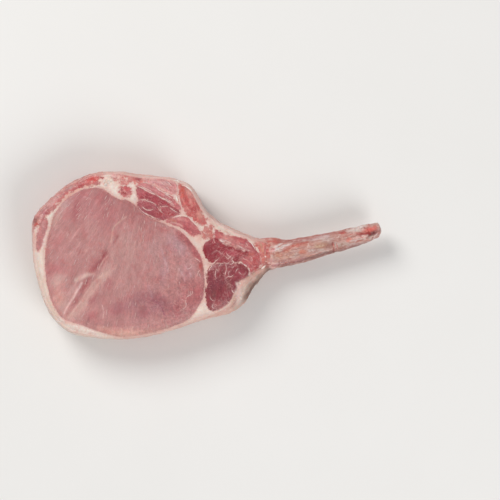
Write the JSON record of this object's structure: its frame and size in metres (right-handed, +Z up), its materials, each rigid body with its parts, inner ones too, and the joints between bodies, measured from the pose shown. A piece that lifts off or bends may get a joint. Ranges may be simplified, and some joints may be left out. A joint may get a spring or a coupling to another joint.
{
  "type": "raw pork chop",
  "caption": "Thick raw rib pork chop lying flat on its cut face, with a round loin eye, darker rib muscles, a rim of fat and a long bare rib bone standing out as a handle.",
  "frame": {"origin": "on the surface the chop lies on, under the middle of its bounding box seen from above", "axes": "+X along the bone towards its free end, +Y towards the rib side of the meat, +Z up out of the upper cut face"},
  "size_m": [0.2044, 0.098, 0.03],
  "materials": {
    "meat": "satin",
    "bone": "satin"
  },
  "bodies": {
    "root": {"chop_meat": "meat", "rib_bone": "bone"}
  },
  "joints": []
}
